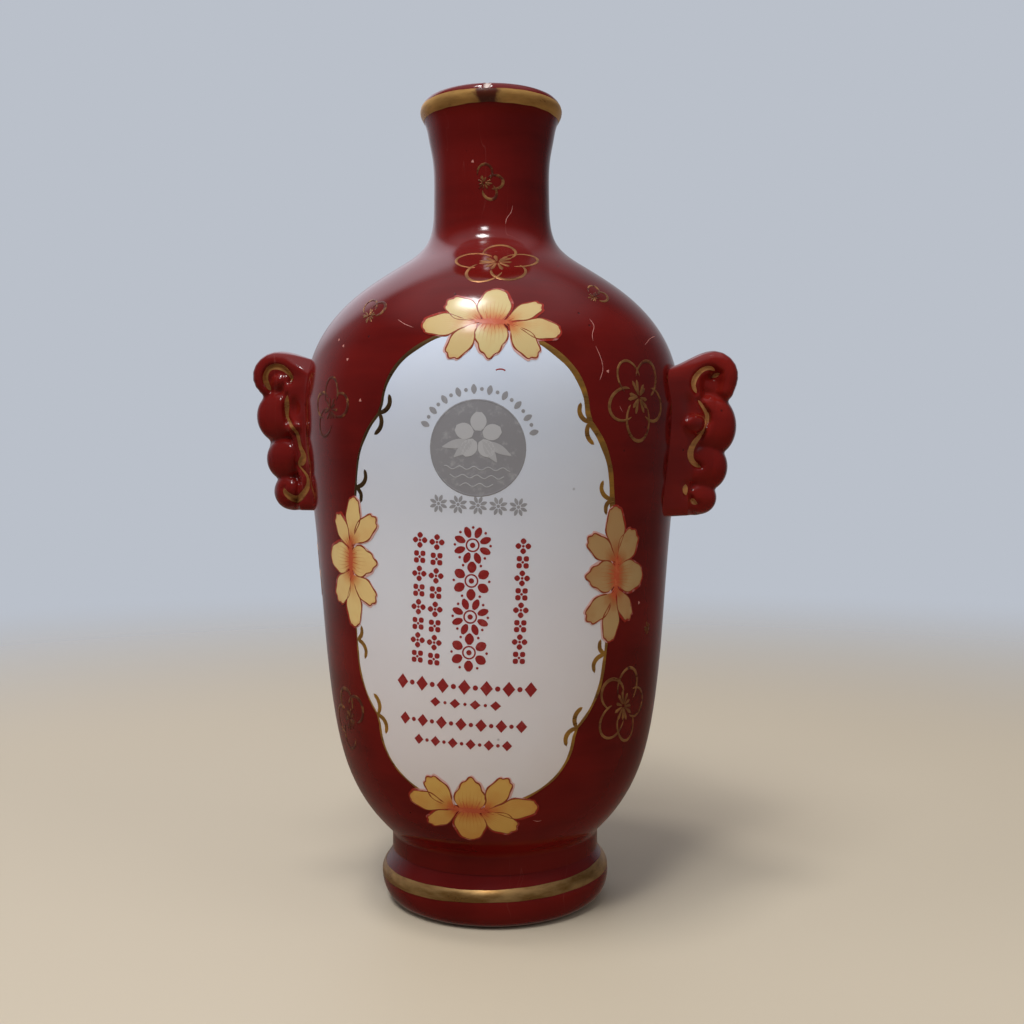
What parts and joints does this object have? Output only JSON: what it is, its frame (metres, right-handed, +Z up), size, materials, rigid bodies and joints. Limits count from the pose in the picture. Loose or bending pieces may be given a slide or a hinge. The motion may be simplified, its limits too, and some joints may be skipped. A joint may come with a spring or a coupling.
{
  "type": "porcelain spirit bottle",
  "caption": "Porcelain spirit bottle in vase form: shouldered round shell, flared neck with rolled lip, turned foot ring and cloud-shaped side lugs, in red enamel with gilding.",
  "frame": {"origin": "centre of the foot ring's resting plane, on the turning axis", "axes": "+Z up along the turning axis, +X through the right-hand lug, -Y towards the decorated front"},
  "size_m": [0.0956, 0.0732, 0.156],
  "materials": {
    "red_enamel": "gloss",
    "foot_enamel": "gloss",
    "lug_enamel": "gloss",
    "gilding": "satin",
    "white_glaze": "gloss",
    "petal_enamel": "gloss",
    "red_print": "gloss",
    "grey_print": "gloss"
  },
  "bodies": {
    "root": {"body": "red_enamel", "foot_ring": "foot_enamel", "left_lug": "lug_enamel", "right_lug": "lug_enamel"}
  },
  "joints": []
}
